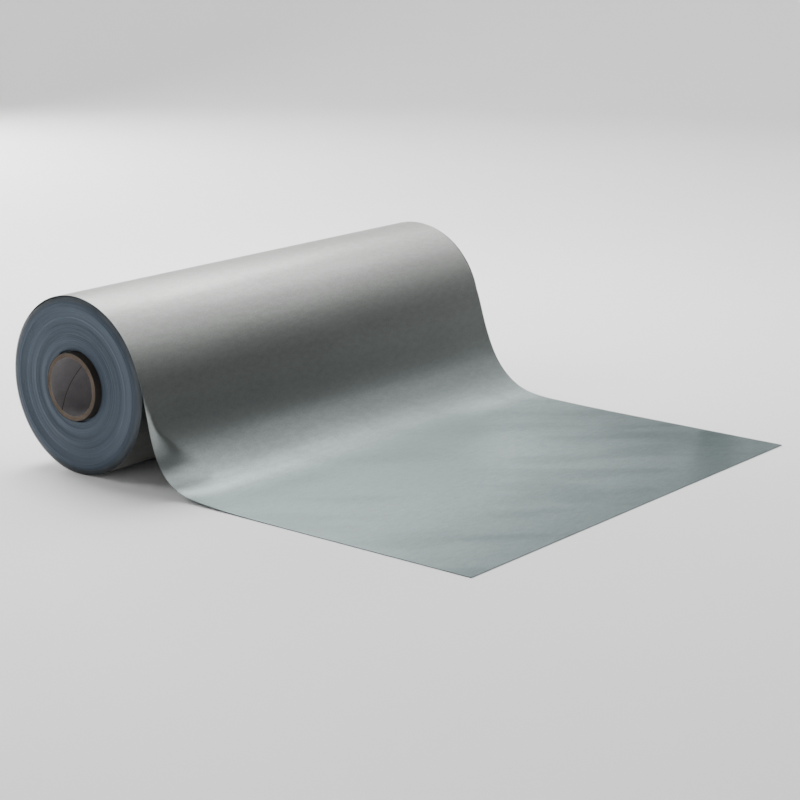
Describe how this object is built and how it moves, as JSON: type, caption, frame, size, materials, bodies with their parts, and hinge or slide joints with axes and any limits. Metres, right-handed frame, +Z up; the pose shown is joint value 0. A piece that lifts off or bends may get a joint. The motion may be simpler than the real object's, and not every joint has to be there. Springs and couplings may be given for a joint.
{
  "type": "foil sheet roll",
  "caption": "Wide roll of thin silver-grey foil sheet on a paperboard core, its end drawn over the top and laid out flat in front.",
  "frame": {"origin": "centre of the core's bore, halfway along the core", "axes": "+X along the core, -Y the way the sheet is drawn, +Z up"},
  "size_m": [0.714, 0.7524, 0.235],
  "materials": {
    "foil": "satin",
    "wound_edge": "matte",
    "core_board": "matte",
    "ply_paper": "matte",
    "liner_paper": "matte",
    "tape_paper": "matte"
  },
  "bodies": {
    "sheet": {"outer_turn": "foil", "draped_sheet": "foil", "flat_sheet": "foil"},
    "roll": {"core_liner": "liner_paper", "core_board": "core_board", "core_outer_ply": "ply_paper", "start_tape": "tape_paper", "first_turns": "wound_edge", "inner_turns": "wound_edge", "lower_turns": "wound_edge", "low_middle_turns": "wound_edge", "middle_turns": "wound_edge", "high_middle_turns": "wound_edge", "ridge_turns": "wound_edge", "shoulder_turns": "wound_edge", "rim_turns": "wound_edge"},
    "sheet_end": {"drawn_end": "foil"}
  },
  "joints": [
    {"name": "roll_spin", "type": "hinge", "parent": "sheet", "child": "roll", "pos_m": [0, 0, 0], "axis": [1, 0, 0], "range_deg": [0, 175]},
    {"name": "sheet_draw", "type": "slide", "parent": "sheet", "child": "sheet_end", "axis": [0, -1, 0], "range_m": [0, 0.36]}
  ],
  "couplings": [
    {"joint": "sheet_draw", "follows": "roll_spin", "m_per_rad": 0.1172}
  ]
}
